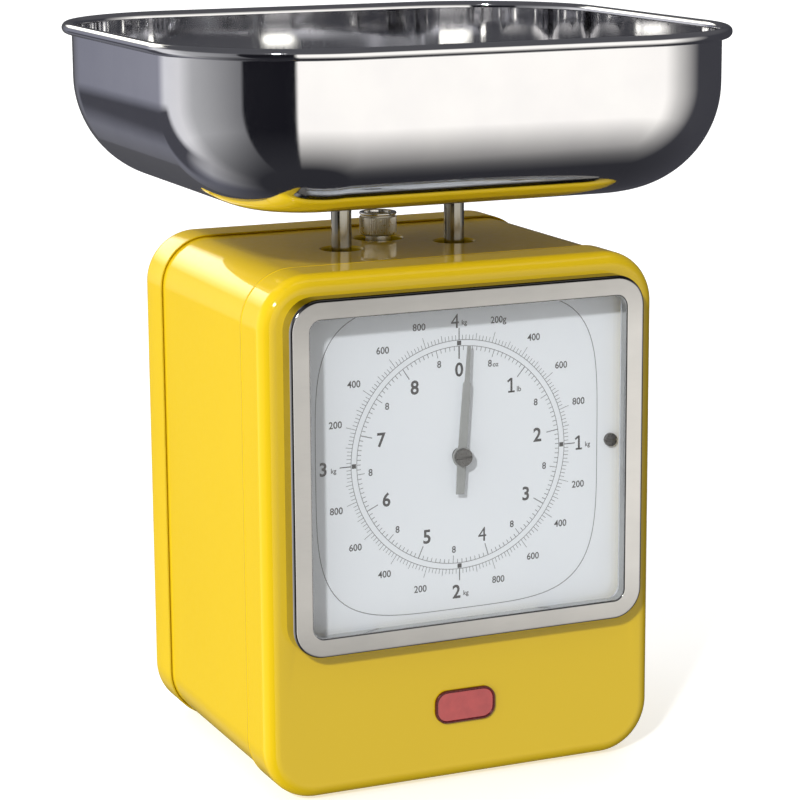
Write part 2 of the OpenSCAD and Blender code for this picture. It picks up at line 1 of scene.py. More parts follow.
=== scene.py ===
import bpy
import bmesh
import json
from math import atan2, cos, pi, radians, sin
from mathutils import Matrix, Vector


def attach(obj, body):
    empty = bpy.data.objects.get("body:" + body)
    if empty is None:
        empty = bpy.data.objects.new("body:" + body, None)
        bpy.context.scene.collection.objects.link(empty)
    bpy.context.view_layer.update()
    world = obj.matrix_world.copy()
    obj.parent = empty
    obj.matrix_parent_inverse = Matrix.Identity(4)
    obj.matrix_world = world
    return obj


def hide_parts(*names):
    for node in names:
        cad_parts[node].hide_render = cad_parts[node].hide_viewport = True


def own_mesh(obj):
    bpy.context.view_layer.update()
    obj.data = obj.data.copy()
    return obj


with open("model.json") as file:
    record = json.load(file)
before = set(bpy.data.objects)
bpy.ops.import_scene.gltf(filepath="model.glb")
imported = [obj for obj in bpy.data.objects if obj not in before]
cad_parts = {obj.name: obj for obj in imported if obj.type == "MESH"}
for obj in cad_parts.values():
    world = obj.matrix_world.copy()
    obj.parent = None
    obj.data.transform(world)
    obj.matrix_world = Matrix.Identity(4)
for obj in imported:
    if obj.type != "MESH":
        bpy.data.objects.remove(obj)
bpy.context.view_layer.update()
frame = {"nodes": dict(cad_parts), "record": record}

# A kitchen scale: a polished bowl on two posts over a painted housing with a dial.
# Lengths in the settings of the pieces are millimetres, and piece() scales each mesh to metres.
# Finishes, the bezel's painted shades, the floor and the camera are in metres.

scene = bpy.context.scene
nodes = frame["nodes"]
print("frame loaded:", len(nodes), "nodes")


# Materials

def feed(tree, socket, value):
    if isinstance(value, bpy.types.NodeSocket):
        tree.links.new(value, socket)
    else:
        socket.default_value = value


def wire(tree, kind, inputs=None, **settings):
    made = tree.nodes.new(kind)
    for key, value in settings.items():
        setattr(made, key, value)
    for key, value in (inputs or {}).items():
        feed(tree, made.inputs[key], value)
    return made


def objectPlace(tree):
    return wire(tree, "ShaderNodeTexCoord").outputs["Object"]


def grain(tree, scale, stretch=(1, 1, 1), detail=4.0, rough=0.55):
    placed = wire(tree, "ShaderNodeMapping", {"Vector": objectPlace(tree), "Scale": stretch})
    return wire(tree, "ShaderNodeTexNoise", {"Vector": placed.outputs["Vector"], "Scale": scale,
                                             "Detail": detail, "Roughness": rough}).outputs["Fac"]


def spread(tree, value, low, high, fromLow=0.3, fromHigh=0.7):
    return wire(tree, "ShaderNodeMapRange", {"Value": value, "From Min": fromLow, "From Max": fromHigh,
                                             "To Min": low, "To Max": high}).outputs["Result"]


# A mix node has a set of sockets for each type of data; 6, 7 and output 2 are its colours
def mixed(tree, share, first, second):
    made = wire(tree, "ShaderNodeMix", {0: share, 6: first, 7: second}, data_type="RGBA", blend_type="MIX")
    return made.outputs[2]


def bumpy(tree, height, distance):
    return wire(tree, "ShaderNodeBump", {"Height": height, "Distance": distance}).outputs["Normal"]


# A finish has two close tones that drift over the piece, a roughness that drifts too,
# and a fine relief. Extra settings go to the shader's own sockets.
def finish(name, light, dark, rough, metal=0.0, patches=60.0, fine=900.0, stretch=(1, 1, 1),
           relief=0.000004, sockets=None):
    mat = bpy.data.materials.new(name)
    mat.use_nodes = True
    tree = mat.node_tree
    shader = tree.nodes["Principled BSDF"]
    broad = grain(tree, patches, detail=3.0)
    close = grain(tree, fine, stretch)
    tone = mixed(tree, spread(tree, broad, 0.0, 1.0), (*dark, 1), (*light, 1))
    tree.links.new(tone, shader.inputs["Base Color"])
    tree.links.new(spread(tree, close, rough[0], rough[1]), shader.inputs["Roughness"])
    tree.links.new(bumpy(tree, close, relief), shader.inputs["Normal"])
    shader.inputs["Metallic"].default_value = metal
    for key, value in (sockets or {}).items():
        shader.inputs[key].default_value = value
    return mat


# Paints shade into a finish, darker towards one end: low and high are its painted shades at start and end of
# the axis
def graded(mat, axis, low, high, start, end):
    tree = mat.node_tree
    entry = tree.nodes["Principled BSDF"].inputs["Base Color"]
    tone = entry.links[0].from_socket
    along = wire(tree, "ShaderNodeSeparateXYZ", {"Vector": objectPlace(tree)}).outputs[axis]
    share = spread(tree, along, 0.0, 1.0, start, end)
    tint = mixed(tree, share, (low, low, low, 1), (high, high, high, 1))
    both = wire(tree, "ShaderNodeVectorMath", {0: tone, 1: tint}, operation="MULTIPLY")
    tree.links.new(both.outputs["Vector"], entry)


paneSet = {"tint": (0.995, 0.999, 1.0), "rough": (0.01, 0.03), "waves": 45.0, "relief": 0.00001,
           "blend": 0.3, "mirrored": (0.03, 0.35), "facing": (0.35, 1.0)}


# A clear pane that mirrors a little, and more where it is seen at a slant
def plainGlass(name, s):
    mat = bpy.data.materials.new(name)
    mat.use_nodes = True
    tree = mat.node_tree
    tree.nodes.remove(tree.nodes["Principled BSDF"])
    close = grain(tree, s["waves"], detail=2.0)
    normal = bumpy(tree, close, s["relief"])
    clear = wire(tree, "ShaderNodeBsdfTransparent", {"Color": (*s["tint"], 1)})
    gloss = wire(tree, "ShaderNodeBsdfGlossy", {"Color": (1, 1, 1, 1), "Normal": normal,
                                                "Roughness": spread(tree, close, *s["rough"])})
    facing = wire(tree, "ShaderNodeLayerWeight", {"Blend": s["blend"], "Normal": normal}).outputs["Facing"]
    share = spread(tree, facing, *s["mirrored"], *s["facing"])
    both = wire(tree, "ShaderNodeMixShader", {0: share, 1: clear.outputs[0], 2: gloss.outputs[0]})
    tree.links.new(both.outputs[0], tree.nodes["Material Output"].inputs["Surface"])
    return mat


enamel = finish("yellow enamel", (0.81, 0.555, 0.010), (0.795, 0.54, 0.008), (0.34, 0.42), patches=9.0,
                fine=420.0, relief=0.0000016,
                sockets={"Coat Weight": 0.75, "Coat Roughness": 0.03, "Specular IOR Level": 0.05})
mirrorSteel = finish("mirror steel", (0.80, 0.80, 0.81), (0.74, 0.74, 0.76), (0.035, 0.085), 1.0,
                     patches=30.0, fine=1400.0, stretch=(1, 1, 0.12), relief=0.0000012)
satinSteel = finish("satin steel", (0.70, 0.69, 0.67), (0.64, 0.635, 0.62), (0.34, 0.44), 1.0,
                    patches=40.0, fine=2600.0, stretch=(0.06, 1, 1), relief=0.000003)
# Satin steel for the bezel's face, which gets painted shade below: darker to the left, at the bottom and at
# the top
bezelSteelPaintedShade = finish("bezel steel with painted shade", (0.70, 0.69, 0.67), (0.64, 0.635, 0.62), (0.32, 0.42), 1.0,
                    patches=40.0, fine=2600.0, stretch=(0.06, 1, 1), relief=0.000003)
# The bezel's polished edge, which gets a painted dark line along its top below
edgeSteelPaintedShade = finish("polished edge", (0.58, 0.575, 0.56), (0.50, 0.495, 0.49), (0.06, 0.13), 1.0,
                   patches=50.0, relief=0.000002)
# Painted shade on the bezel: its face darker to the left, at the bottom and at the top, and a painted dark
# line along the top of its polished edge. Each entry: finish, axis, shade at the start, shade at the end,
# and start and end in metres
bezelPaintedShades = [(bezelSteelPaintedShade, "X", 0.66, 0.92, -0.075, 0.075), (bezelSteelPaintedShade, "Z", 0.74, 1.0, 0.060, 0.080),
               (bezelSteelPaintedShade, "Z", 1.0, 0.74, 0.172, 0.190), (edgeSteelPaintedShade, "Z", 1.0, 0.12, 0.1885, 0.1925)]
for shade in bezelPaintedShades:
    graded(*shade)
postSteel = finish("post steel", (0.36, 0.345, 0.30), (0.29, 0.28, 0.25), (0.12, 0.22), 1.0, patches=120.0,
                   fine=1800.0, stretch=(8, 8, 0.5), relief=0.000003)
brightSteel = finish("bright steel", (0.76, 0.75, 0.73), (0.66, 0.65, 0.64), (0.10, 0.20), 1.0,
                     patches=120.0, fine=1800.0, stretch=(1, 1, 8), relief=0.000003)
zincSteel = finish("zinc plate", (0.62, 0.64, 0.67), (0.50, 0.53, 0.58), (0.28, 0.46), 1.0, patches=180.0,
                   relief=0.000006)
knurlMetal = finish("knurled metal", (0.74, 0.725, 0.67), (0.60, 0.585, 0.54), (0.24, 0.40), 1.0,
                    patches=300.0, relief=0.000005)
rubber = finish("black rubber", (0.030, 0.030, 0.032), (0.018, 0.018, 0.019), (0.62, 0.85), patches=90.0,
                relief=0.00003)
nylon = finish("nylon", (0.78, 0.77, 0.70), (0.70, 0.69, 0.61), (0.38, 0.52), patches=80.0, relief=0.00001,
               sockets={"Subsurface Weight": 0.1, "Subsurface Radius": (0.002, 0.002, 0.001)})
brass = finish("brass", (0.72, 0.55, 0.24), (0.60, 0.44, 0.17), (0.18, 0.34), 1.0, patches=160.0,
               stretch=(1, 8, 1))
springSteel = finish("spring steel", (0.20, 0.21, 0.23), (0.12, 0.125, 0.14), (0.26, 0.42), 1.0,
                     patches=140.0)
badgeRed = finish("red enamel", (0.56, 0.055, 0.055), (0.44, 0.035, 0.038), (0.16, 0.26), patches=160.0,
                  sockets={"Coat Weight": 0.7, "Coat Roughness": 0.04})
# The raised rim is real, but its dark red stands in for the shade along the badge's edge: painted shade
badgeRimPaintedShade = finish("badge rim with painted shade", (0.13, 0.010, 0.010), (0.08, 0.006, 0.007), (0.22, 0.36), 0.2, patches=200.0)
sealGrey = finish("seal", (0.62, 0.63, 0.66), (0.55, 0.56, 0.60), (0.5, 0.65), patches=90.0, relief=0.00001)
dialWhite = finish("dial white", (0.90, 0.93, 0.965), (0.88, 0.91, 0.95), (0.42, 0.52), patches=22.0,
                   relief=0.000004)
printBlack = finish("dial print", (0.020, 0.020, 0.024), (0.040, 0.041, 0.046), (0.45, 0.6), patches=260.0)
printGrey = finish("dial print, light", (0.16, 0.165, 0.175), (0.21, 0.215, 0.23), (0.45, 0.6),
                   patches=260.0)
pointerGrey = finish("pointer grey", (0.34, 0.35, 0.345), (0.28, 0.29, 0.285), (0.40, 0.50), patches=120.0)
darkCap = finish("dark cap", (0.10, 0.10, 0.098), (0.055, 0.055, 0.054), (0.24, 0.42), 0.8, patches=420.0,
                 relief=0.00001)
lensClear = plainGlass("lens", paneSet)
print("materials made")


# Shapes

def edgesAt(verts):
    return list({e for v in verts for e in v.link_edges})


# A flat rectangle at z = 0
def addPlate(bm, width, height, x=0.0, y=0.0, turn=0.0):
    verts = bmesh.ops.create_grid(bm, x_segments=1, y_segments=1, size=0.5)["verts"]
    bmesh.ops.scale(bm, vec=(width, height, 1), verts=verts)
    place = Matrix.Translation((x, y, 0)) @ Matrix.Rotation(radians(turn), 4, "Z")
    bmesh.ops.transform(bm, matrix=place, verts=verts)
    return verts


# The loop of a rounded rectangle at z = 0, as a list of edges
def roundLoop(bm, width, height, radius, segments):
    flat = addPlate(bm, width, height)
    bmesh.ops.bevel(bm, geom=flat, offset=radius, segments=segments, profile=0.5, affect="VERTICES")
    face = max(bm.faces, key=lambda f: len(f.verts))
    edges = list(face.edges)
    bmesh.ops.delete(bm, geom=[face], context="FACES_ONLY")
    return edges


# Extrudes a loop where it stands, and gives the new loop with its points
def grow(bm, edges):
    made = bmesh.ops.extrude_edge_only(bm, edges=edges)["geom"]
    verts = {g for g in made if isinstance(g, bmesh.types.BMVert)}
    return [g for g in made if isinstance(g, bmesh.types.BMEdge) and set(g.verts) <= verts], verts


# Carries a loop through a list of (out, up) offsets measured from the radius it was drawn with
def carry(bm, edges, size, offsets):
    width, height, radius = size
    corner = Vector((width / 2 - radius, height / 2 - radius))
    for out, up in offsets:
        edges, verts = grow(bm, edges)
        for v in verts:
            centre = Vector((corner.x if v.co.x > 0 else -corner.x, corner.y if v.co.y > 0 else -corner.y))
            away = (v.co.xy - centre).normalized()
            v.co = (*(centre + away * (radius + out)), up)
    return edges


def cap(bm, edges):
    bmesh.ops.contextual_create(bm, geom=edges)


def arc(centreOut, centreUp, radius, start, end, steps):
    turn = (radians(end) - radians(start)) / steps
    return [(centreOut + radius * cos(radians(start) + turn * k),
             centreUp + radius * sin(radians(start) + turn * k)) for k in range(steps + 1)]


# Turns a shape drawn flat so that its height points to the front or to the back
def faceFront(bm, y, z):
    turned = Matrix.Rotation(pi / 2, 4, "X")
    bmesh.ops.transform(bm, matrix=Matrix.Translation((0, y, z)) @ turned, verts=bm.verts)


def faceBack(bm, y, z):
    turned = Matrix.Rotation(pi, 4, "Z") @ Matrix.Rotation(pi / 2, 4, "X")
    bmesh.ops.transform(bm, matrix=Matrix.Translation((0, y, z)) @ turned, verts=bm.verts)


def addObject(name, data):
    obj = bpy.data.objects.new(name, data)
    scene.collection.objects.link(obj)
    return obj


# Makes the mesh an object, with the body it moves with and the slot of its finish
def piece(name, bm, mats, body, replaced=(), sharp=35.0, scale=0.001):
    bmesh.ops.remove_doubles(bm, verts=bm.verts, dist=0.0005)
    bmesh.ops.scale(bm, vec=(scale,) * 3, verts=bm.verts)
    bmesh.ops.recalc_face_normals(bm, faces=bm.faces)
    mesh = bpy.data.meshes.new(name)
    bm.to_mesh(mesh)
    bm.free()
    for mat in mats:
        mesh.materials.append(mat)
    mesh.shade_smooth()
    mesh.set_sharp_from_angle(angle=radians(sharp))
    obj = addObject(name, mesh)
    if replaced:
        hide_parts(*replaced)
    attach(obj, body)
    return obj


def evenShading(obj):
    shading = obj.modifiers.new("shading", "WEIGHTED_NORMAL")
    shading.keep_sharp = True
    shading.weight = 100


# Gives the faces that pass a test the second of the piece's finishes
def secondFinish(obj, passes):
    for f in obj.data.polygons:
        f.material_index = 1 if passes(f) else 0


# Bowl

bowlSet = {"length": 222.0, "width": 206.0, "corner": 55.8, "bend": 41.0, "bottom": 224.1, "rise": 60.0,
           "sheet": 0.8, "rim": 2.2, "rimOut": 1.7, "straight": 6.0, "segments": 28, "bendSteps": 26,
           "rimSteps": 16}


def buildBowl(s):
    bm = bmesh.new()
    bend, rise, sheet = s["bend"], s["rise"], s["sheet"]
    size = (s["length"], s["width"], s["corner"])
    edges = roundLoop(bm, s["length"] - 2 * bend, s["width"] - 2 * bend, s["corner"] - bend, s["segments"])
    cap(bm, edges)
    outer = arc(-bend, bend, bend, -90, 0, s["bendSteps"])[1:]
    outerWall = [(0, bend + s["straight"]), (0, rise - s["rim"])]
    bead = arc(s["rimOut"], rise, s["rim"], -135, 120, s["rimSteps"])
    turnIn = [(-0.35, rise + 1.5), (-sheet + 0.1, rise + 0.6), (-sheet, rise - 0.6)]
    innerWall = [(-sheet, bend + s["straight"])]
    inner = arc(-bend, bend, bend - sheet, 0, -90, s["bendSteps"])
    loop = carry(bm, edges, size, outer + outerWall + bead + turnIn + innerWall + inner)
    cap(bm, loop)
    bmesh.ops.translate(bm, vec=(0, 0, s["bottom"]), verts=bm.verts)
    evenShading(piece("bowl_shell", bm, [mirrorSteel], "bowl", ["bowl"], sharp=60))


buildBowl(bowlSet)
print("bowl made")


# Housing

housingSet = {"width": 161.6, "height": 200.0, "corner": 20.3, "edge": 5.5, "sheet": 0.9, "skirt": 21.5,
              "front": -66.5, "rear": 66.5, "middle": 101.5, "inset": 1.0, "lap": 6.0, "segments": 20,
              "edgeSteps": 10, "line": 0.4, "opening": (136.1, 126.3, 7.65), "openingUp": 24.8}


# An enamelled sheet of the housing, given its thickness inwards
def panel(name, bm, s, node):
    obj = piece(name, bm, [enamel], "housing", [node])
    grown = obj.modifiers.new("sheet", "SOLIDIFY")
    grown.thickness = s["sheet"] / 1000
    grown.offset = -1
    grown.use_even_offset = True
    evenShading(obj)


# The sides of a shell and its rounded edge, with a line pressed in beside the open end if it has a depth
def shellSides(bm, s, line=0.0):
    size = (s["width"], s["height"], s["corner"])
    edges = roundLoop(bm, *size, s["segments"])
    pressed = [(0, 0.5), (-line, 0.9), (-line, 1.1), (0, 1.5)] if line else []
    straight = [(0, s["skirt"] - s["edge"] - 0.5)]
    turned = arc(-s["edge"], s["skirt"] - s["edge"], s["edge"], 0, 90, s["edgeSteps"])
    return carry(bm, edges, size, pressed + straight + turned)


def buildFrontShell(s):
    bm = bmesh.new()
    outer = shellSides(bm, s, s["line"])
    window = bmesh.new()
    roundLoop(window, *s["opening"], s["segments"])
    for v in window.verts:
        v.co.y += s["openingUp"]
        v.co.z = s["skirt"]
    spare = bpy.data.meshes.new("window")
    window.to_mesh(spare)
    window.free()
    before = set(bm.edges)
    bm.from_mesh(spare)
    bpy.data.meshes.remove(spare)
    bmesh.ops.bridge_loops(bm, edges=list(outer) + [e for e in bm.edges if e not in before])
    faceFront(bm, s["front"] + s["skirt"], s["middle"])
    panel("front_shell_panel", bm, s, "front_shell")


def buildRearCover(s):
    bm = bmesh.new()
    cap(bm, shellSides(bm, s))
    faceBack(bm, s["rear"] - s["skirt"], s["middle"])
    panel("rear_cover_panel", bm, s, "rear_cover")


# The top of the wrap has three holes whose edges are turned down: x, y and radius of each
lipSet = {"holes": [(-24.0, -6.0, 8.0), (24.0, -6.0, 8.0), (0.0, 14.0, 9.7)], "radius": 0.9, "depth": 2.6,
          "segments": 56, "steps": 6}


def buildWrap(s, lips):
    bm = bmesh.new()
    width, height = s["width"] - 2 * s["inset"], s["height"] - 2 * s["inset"]
    size = (width, height, s["corner"] - s["inset"])
    half = (s["rear"] - s["skirt"]) + s["lap"]
    edges = roundLoop(bm, *size, s["segments"])
    bmesh.ops.translate(bm, vec=(0, 0, -half), verts=bm.verts)
    carry(bm, edges, size, [(0, half)])
    faceFront(bm, 0, s["middle"])
    top = s["middle"] + height / 2
    lid = max(bm.faces, key=lambda f: f.calc_center_median().z)
    boundary = list(lid.edges)
    bmesh.ops.delete(bm, geom=[lid], context="FACES_ONLY")
    rings = []
    for x, y, radius in lips["holes"]:
        made = bmesh.ops.create_circle(bm, segments=lips["segments"], radius=radius + lips["radius"],
                                       matrix=Matrix.Translation((x, y, top)))["verts"]
        ring = edgesAt(made)
        rings.append((ring, Vector((x, y)), radius))
        boundary += ring
    bmesh.ops.triangle_fill(bm, edges=boundary, use_beauty=True, normal=(0, 0, 1))
    turned = arc(lips["radius"], -lips["radius"], lips["radius"], 90, 180, lips["steps"])[1:]
    for ring, centre, radius in rings:
        for out, down in turned + [(0, -lips["depth"])]:
            ring, verts = grow(bm, ring)
            for v in verts:
                away = (v.co.xy - centre).normalized()
                v.co = (*(centre + away * (radius + out)), top + down)
    panel("wrap_panel", bm, s, "centre_wrap")


buildFrontShell(housingSet)
buildRearCover(housingSet)
buildWrap(housingSet, lipSet)
print("housing made")


# Bezel: polished edges, with a satin face and a lip behind it that the pane rests against

bezelSet = {"size": (144.8, 135.0, 12.0), "z": 126.3, "out": 7.7, "band": 7.85, "sheet": 1.0, "soft": 1.5,
            "roll": 0.9, "lip": 4.2, "lipSheet": 0.8, "segments": 16, "steps": 6}


def buildBezel(s):
    bm = bmesh.new()
    out, band, soft, roll, sheet = s["out"], s["band"], s["soft"], s["roll"], s["sheet"]
    edges = roundLoop(bm, *s["size"], s["segments"])
    edge = arc(-soft, out - soft, soft, 0, 90, s["steps"])
    inner = arc(-band + roll, out - roll, roll, 90, 180, s["steps"])
    back = [(-band, out - s["lip"]), (-band + s["lipSheet"], out - s["lip"]),
            (-band + s["lipSheet"], out - sheet), (-soft, out - sheet),
            (-sheet, out - soft), (-sheet, 0), (0, 0)]
    carry(bm, edges, s["size"], edge + inner + back)
    faceFront(bm, housingSet["front"], s["z"])
    obj = piece("bezel_frame", bm, [edgeSteelPaintedShade, bezelSteelPaintedShade], "housing", ["bezel"])
    secondFinish(obj, lambda f: f.normal.y < -0.95)
    evenShading(obj)


buildBezel(bezelSet)


# Badge: a plain plate with a raised rim, whose dark red is partly painted shade along the badge's edge
badgeSet = {"size": (25.0, 13.0, 5.0), "z": 30.7, "plate": 0.8, "high": 1.2, "rim": 0.8, "soft": 0.25,
            "foot": [(0.05, 0.1), (0.2, 0), (0.6, 0)], "segments": 12, "steps": 3}


def buildBadge(s):
    bm = bmesh.new()
    edges = roundLoop(bm, *s["size"], s["segments"])
    rim = arc(-s["soft"], s["high"] - s["soft"], s["soft"], 0, 90, s["steps"])
    inside = arc(-s["rim"] + s["soft"], s["high"] - s["soft"], s["soft"], 90, 180, s["steps"])
    foot = [(-s["rim"] - out, s["plate"] + up) for out, up in s["foot"]]
    cap(bm, carry(bm, edges, s["size"], rim + inside + foot))
    faceFront(bm, housingSet["front"], s["z"])
    cap(bm, [e for e in bm.edges if e.is_boundary])
    obj = piece("badge_plate", bm, [badgeRimPaintedShade, badgeRed], "housing", ["badge"])
    enamelled = (housingSet["front"] - s["plate"] - 0.05) / 1000
    secondFinish(obj, lambda f: f.normal.y < -0.9 and f.center.y > enamelled)
    evenShading(obj)


buildBadge(badgeSet)
print("bezel and badge made")


# Small pieces are the CAD shapes with their edges broken
def eased(node, name, mats, body, width, segments=2, angle=32.0):
    mesh = nodes[node].data.copy()
    bm = bmesh.new()
    bm.from_mesh(mesh)
    bpy.data.meshes.remove(mesh)
    bmesh.ops.remove_doubles(bm, verts=bm.verts, dist=0.000004)
    obj = piece(name, bm, mats, body, [node], scale=1.0)
    rounded = obj.modifiers.new("edges", "BEVEL")
    rounded.width = width / 1000
    rounded.segments = segments
    rounded.limit_method = "ANGLE"
    rounded.angle_limit = radians(angle)
    evenShading(obj)


# Dial: the plate, then its print a little in front of it

dialSet = {"z": 127.8, "face": -62.2, "lift": 0.03, "inner": 42.0, "outer": 44.3, "line": 0.24,
           "square": 1.7, "squareAt": 43.15, "border": (58.5, 60.0), "borderPower": 4.2, "borderLine": 0.28}
# Outer scale: steps and labels in grams, and long marks at each kilogram
kiloSet = {"full": 4000, "step": 20, "longer": 100, "label": 200, "short": 1.9, "middle": 2.7, "long": 4.2,
           "thin": 0.2, "textAt": 53.0, "text": 2.75, "tailed": 1.25, "quarter": 4.6, "quarterThin": 0.36,
           "number": 5.4, "unit": 2.5}
# Each kilogram's number and its unit: x and y of both
kiloMarks = [("4", -1.7, 51.6, 2.2, 50.6), ("1", 50.6, 0.0, 54.5, -1.2), ("2", -1.3, -53.2, 2.7, -54.4),
             ("3", -55.5, 0.0, -51.3, -1.2)]
# Inner scale: degrees to a pound, with a mark for each ounce
poundSet = {"degrees": 40.8233, "ounces": 16, "last": 141, "short": 1.6, "half": 3.0, "full": 4.9,
            "thin": 0.24, "heavier": 1.5, "zeroThin": 0.5, "textAt": 33.2, "zeroAt": 33.0, "text": 5.5,
            "unit": 2.1, "unitFrom": (3.3, -1.7), "halfAt": 36.6, "halfText": 2.7, "ounceText": 1.3,
            "ounceFrom": (2.4, -0.8)}
# How much heavier the strokes are than the font's own, in parts of its size. The 4 is a little lighter.
weights = {"small": 0.014, "number": 0.022, "0": 0.020, "4": -0.002}


def around(angle, radius):
    return Vector((sin(radians(angle)) * radius, cos(radians(angle)) * radius))


def addBar(bm, angle, start, end, width):
    addPlate(bm, width, abs(end - start), *around(angle, (start + end) / 2), -angle)


def addRing(bm, radius, width, segments=180):
    edges = []
    for r in (radius - width / 2, radius + width / 2):
        edges += edgesAt(bmesh.ops.create_circle(bm, segments=segments, radius=r)["verts"])
    bmesh.ops.bridge_loops(bm, edges=edges)


# Words are drawn to a height and centred
def addWords(bm, words, height, x, y, weight="small", wide=0.94):
    curve = bpy.data.curves.new(words, "FONT")
    curve.body = words
    curve.resolution_u = 3
    curve.offset = weights[weight]
    holder = bpy.data.objects.new(words, curve)
    mesh = bpy.data.meshes.new_from_object(holder)
    xs = [v.co.x for v in mesh.vertices]
    ys = [v.co.y for v in mesh.vertices]
    k = height / (max(ys) - min(ys))
    centred = Matrix.Translation((-(min(xs) + max(xs)) / 2, -(min(ys) + max(ys)) / 2, 0))
    mesh.transform(Matrix.Translation((x, y, 0)) @ Matrix.Diagonal((k * wide, k, 1, 1)) @ centred)
    bm.from_mesh(mesh)
    bpy.data.objects.remove(holder)
    bpy.data.curves.remove(curve)
    bpy.data.meshes.remove(mesh)


# The font's own 1 is a bare stroke, so this one has a flag and a foot. Each stroke has a width, a height,
# x and y in parts of the number's height, and a turn.
oneStrokes = [(0.15, 1.0, 0.02, 0, 0), (0.135, 0.34, -0.135, 0.36, -52), (0.5, 0.1275, 0.02, -0.46, 0)]


def addOne(bm, height, x, y):
    for wide, tall, dx, dy, turn in oneStrokes:
        addPlate(bm, wide * height, tall * height, x + dx * height, y + dy * height, turn)


# A line round the dial, part way between an ellipse and a rectangle
def addSquircle(bm, halfWide, halfTall, power, width, segments=160):
    edges = []
    for grow in (-width / 2, width / 2):
        made = bmesh.ops.create_circle(bm, segments=segments, radius=1)["verts"]
        for v in made:
            c, s = v.co.x, v.co.y
            r = (abs(c) ** power + abs(s) ** power) ** (-1 / power)
            v.co = (c * r * (halfWide + grow), s * r * (halfTall + grow), 0)
        edges += edgesAt(made)
    bmesh.ops.bridge_loops(bm, edges=edges)


# The print is a flat sheet, so its faces are turned to the front here
def printPiece(name, bm, mat):
    faceFront(bm, dialSet["face"] - dialSet["lift"], dialSet["z"])
    mesh = bpy.data.meshes.new(name)
    bmesh.ops.scale(bm, vec=(0.001,) * 3, verts=bm.verts)
    bm.normal_update()
    bmesh.ops.reverse_faces(bm, faces=[f for f in bm.faces if f.normal.y > 0])
    bm.to_mesh(mesh)
    bm.free()
    mesh.materials.append(mat)
    obj = addObject(name, mesh)
    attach(obj, "housing")


def addNumber(bm, number, height, x, y):
    if number == "1":
        addOne(bm, height, x, y)
    else:
        addWords(bm, number, height, x, y, number if number in weights else "number")


def buildLines(d, k, p):
    bm = bmesh.new()
    for radius in (d["inner"], d["outer"]):
        addRing(bm, radius, d["line"])
    addSquircle(bm, *d["border"], d["borderPower"], d["borderLine"])
    steps = k["full"] // k["step"]
    for n in range(steps):
        labelled, longer = (n * k["step"] % k[each] == 0 for each in ("label", "longer"))
        mark = k["long"] if labelled else k["middle"] if longer else k["short"]
        addBar(bm, 360 * n / steps, d["outer"], d["outer"] + mark, k["thin"])
    for n in range(1, p["last"] + 1):
        whole, half = n % p["ounces"] == 0, n % (p["ounces"] // 2) == 0
        mark = p["full"] if whole else p["half"] if half else p["short"]
        width = p["thin"] * (p["heavier"] if whole else 1)
        addBar(bm, p["degrees"] * n / p["ounces"], d["inner"] - mark, d["inner"], width)
    printPiece("dial_lines", bm, printGrey)


def buildNumbers(d, k, p):
    bm = bmesh.new()
    turn = 360 * k["label"] / k["full"]
    for quarter in range(4):
        addPlate(bm, d["square"], d["square"], *around(90 * quarter, d["squareAt"]))
        addBar(bm, 90 * quarter, d["outer"], d["outer"] + k["quarter"], k["quarterThin"])
        for part in range(1, 5):
            at = around(90 * quarter + turn * part, k["textAt"])
            unit = "g" if quarter == 0 and part == 1 else ""
            addWords(bm, str(k["label"] * part) + unit, k["text"] * (k["tailed"] if unit else 1), *at)
    addBar(bm, 0, d["inner"] - p["full"], d["inner"], p["zeroThin"])
    for number, x, y, unitX, unitY in kiloMarks:
        addNumber(bm, number, k["number"], x, y)
        addWords(bm, "kg", k["unit"], unitX, unitY)
    addNumber(bm, "0", p["text"], 0, p["zeroAt"])
    for n in range(1, 9):
        addNumber(bm, str(n), p["text"], *around(p["degrees"] * n, p["textAt"]))
    addWords(bm, "lb", p["unit"], *(around(p["degrees"], p["textAt"]) + Vector(p["unitFrom"])))
    for n in range(9):
        addWords(bm, "8", p["halfText"], *around(p["degrees"] * (n + 0.5), p["halfAt"]))
    addWords(bm, "oz", p["ounceText"], *(around(p["degrees"] / 2, p["halfAt"]) + Vector(p["ounceFrom"])))
    printPiece("dial_words", bm, printBlack)


eased("dial_plate", "dial_card", [dialWhite], "housing", 0.15)
buildLines(dialSet, kiloSet, poundSet)
buildNumbers(dialSet, kiloSet, poundSet)
eased("dial_screws", "dial_screw_heads", [darkCap], "housing", 0.2, 3)
eased("pointer", "pointer_blade", [pointerGrey], "pointer", 0.12)
eased("pointer_cap", "pointer_screw", [darkCap], "pointer", 0.25, 3)
print("dial made")


# Knob: straight knurling below a smooth rim, and a dished top

knobSet = {"y": 14.0, "low": 201.8, "high": 211.0, "radius": 7.4, "groove": 0.42, "teeth": 60, "recess": 5.8,
           "depth": 1.4, "neck": 5.0, "neckLow": 187.5, "bore": 2.5, "bright": 1.0}


